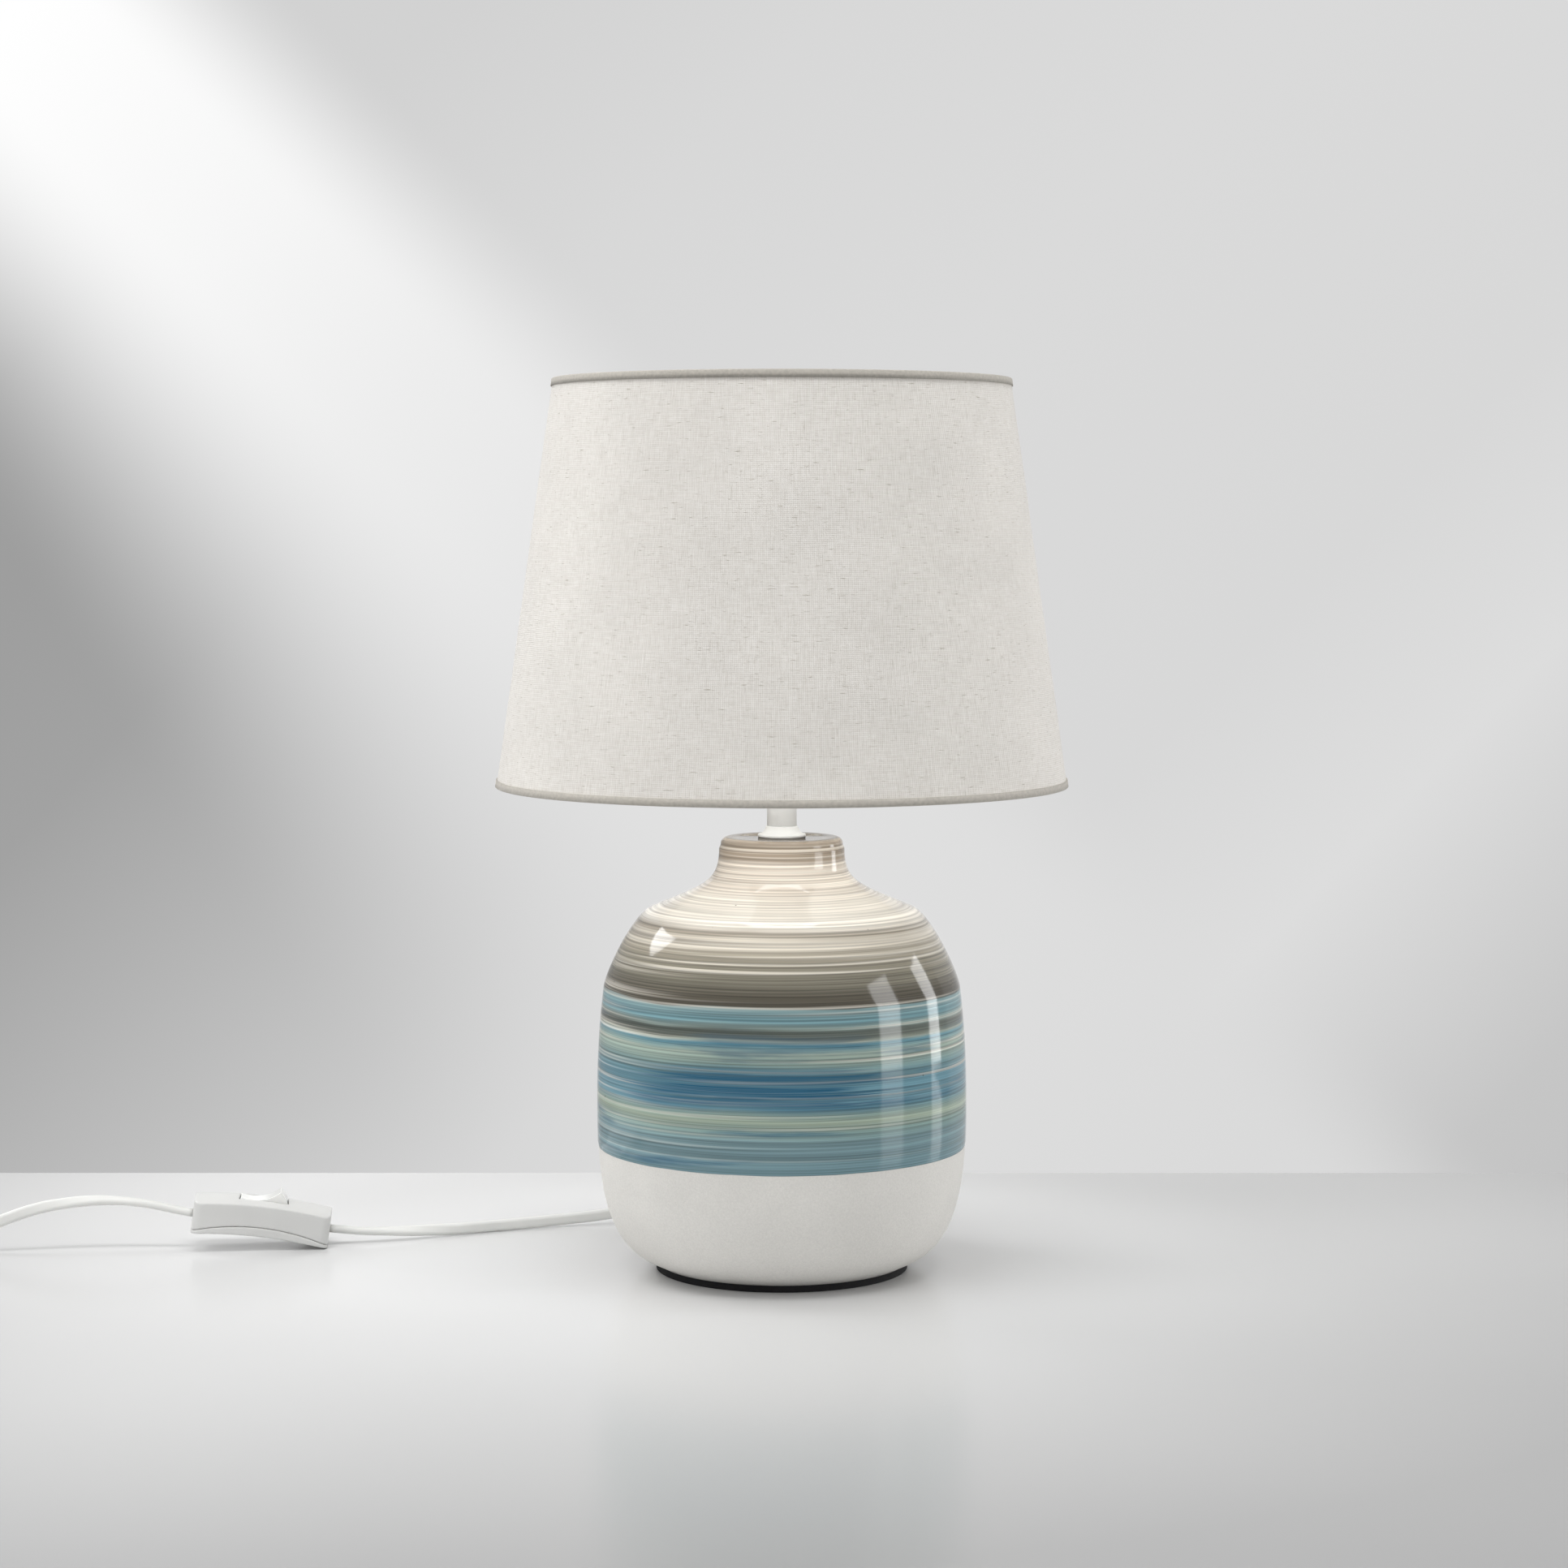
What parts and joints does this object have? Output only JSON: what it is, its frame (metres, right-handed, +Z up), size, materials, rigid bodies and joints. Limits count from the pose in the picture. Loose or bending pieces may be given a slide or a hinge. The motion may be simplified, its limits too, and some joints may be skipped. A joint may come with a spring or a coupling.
{
  "type": "table lamp with shade",
  "caption": "Table lamp with a rounded glazed ceramic base, a tapered linen shade on a screw-in bulb holder, and a flat white cord with an inline rocker switch and plug.",
  "frame": {"origin": "centre of the underside of the foot pad, on the surface that the lamp stands on", "axes": "+Z up along the stem, -Y towards the front, the cord leaves at +Y and its switch lies at -X"},
  "size_m": [0.6133, 0.2594, 0.4044],
  "materials": {
    "foot_foam": "matte closed-cell foam",
    "glazed_ceramic": "brushed colours under a clear glaze, bare matte clay below the glaze line",
    "zinc_steel": "zinc plated",
    "brass": "plain pressed brass",
    "powder_coat": "white powder coat",
    "white_plastic": "moulded, half gloss",
    "grip_plastic": "moulded soft PVC",
    "cord_pvc": "extruded white PVC",
    "insert_ceramic": "unglazed steatite",
    "copper_lead": "thin insulated lead",
    "nickel": "bright nickel plate",
    "bulb_black": "black glass insulator",
    "bulb_housing": "moulded white",
    "bulb_opal": "opal diffuser, satin",
    "led_aluminium": "plain",
    "circuit_board": "solder mask",
    "led_phosphor": "phosphor",
    "shade_fabric": "slub linen weave",
    "shade_liner": "white styrene film",
    "hem_fabric": "rolled linen hem",
    "switch_plastic": "moulded, fine satin",
    "rocker_plastic": "polished, faintly translucent",
    "tie_strap": "woven hook strap",
    "plug_sleeve": "moulded"
  },
  "bodies": {
    "lamp": {"foot_pad": "foot_foam", "ceramic_body": "glazed_ceramic", "base_washer": "zinc_steel", "lock_washer": "zinc_steel", "lower_nut": "brass", "threaded_tube": "zinc_steel", "stem_collar": "powder_coat", "stem_sleeve": "powder_coat", "cord_grip": "grip_plastic", "inner_cord": "cord_pvc", "holder_cap": "white_plastic", "holder_insert": "insert_ceramic", "holder_shell": "white_plastic", "centre_contact": "brass", "side_contact": "brass", "terminal_screws": "zinc_steel", "holder_leads": "copper_lead", "cord_to_switch": "cord_pvc", "switch_upper": "switch_plastic", "switch_lower": "switch_plastic", "rocker_pin": "zinc_steel", "switch_terminals": "brass", "switch_leads": "copper_lead", "switch_screws": "zinc_steel", "cord_to_coil": "cord_pvc", "cord_coil": "cord_pvc", "coil_tie": "tie_strap", "cord_to_plug": "cord_pvc", "plug_relief": "grip_plastic", "plug_body": "white_plastic", "plug_sleeves": "plug_sleeve", "plug_pins": "nickel"},
    "bulb": {"bulb_cap": "nickel", "bulb_insulator": "bulb_black", "bulb_tip": "zinc_steel", "bulb_housing": "bulb_housing", "led_driver": "circuit_board", "led_plate": "led_aluminium", "led_chips": "led_phosphor", "bulb_globe": "bulb_opal"},
    "shade": {"shade_fabric": "shade_fabric", "shade_liner": "shade_liner", "shade_hem_top": "hem_fabric", "shade_hem_bottom": "hem_fabric", "shade_ring_top": "powder_coat", "shade_ring_bottom": "powder_coat", "fitter_ring": "powder_coat", "spider_arms": "powder_coat"},
    "clamp_ring": {"clamp_ring": "white_plastic"},
    "rocker": {"rocker": "rocker_plastic", "rocker_plunger": "white_plastic"},
    "seesaw": {"contact_seesaw": "brass"}
  },
  "joints": [
    {"name": "bulb_lift", "type": "slide", "parent": "lamp", "child": "bulb", "axis": [0, 0, 1], "range_m": [0, 0.16]},
    {"name": "shade_turn", "type": "hinge", "parent": "lamp", "child": "shade", "pos_m": [0, 0, 0.25], "axis": [0, 0, 1], "continuous": true},
    {"name": "clamp_ring_lift", "type": "slide", "parent": "lamp", "child": "clamp_ring", "axis": [0, 0, 1], "range_m": [0, 0.012]},
    {"name": "rocker_press", "type": "hinge", "parent": "lamp", "child": "rocker", "pos_m": [-0.24414, 0.04261, 0.01794], "axis": [-0.1219, 0.9925, 0], "range_deg": [0, 28]},
    {"name": "seesaw_tip", "type": "hinge", "parent": "lamp", "child": "seesaw", "pos_m": [-0.24512, 0.04248, 0.01091], "axis": [-0.1219, 0.9925, 0], "range_deg": [-12, 0]}
  ],
  "couplings": [
    {"joint": "seesaw_tip", "follows": "rocker_press", "ratio": -0.42857}
  ]
}
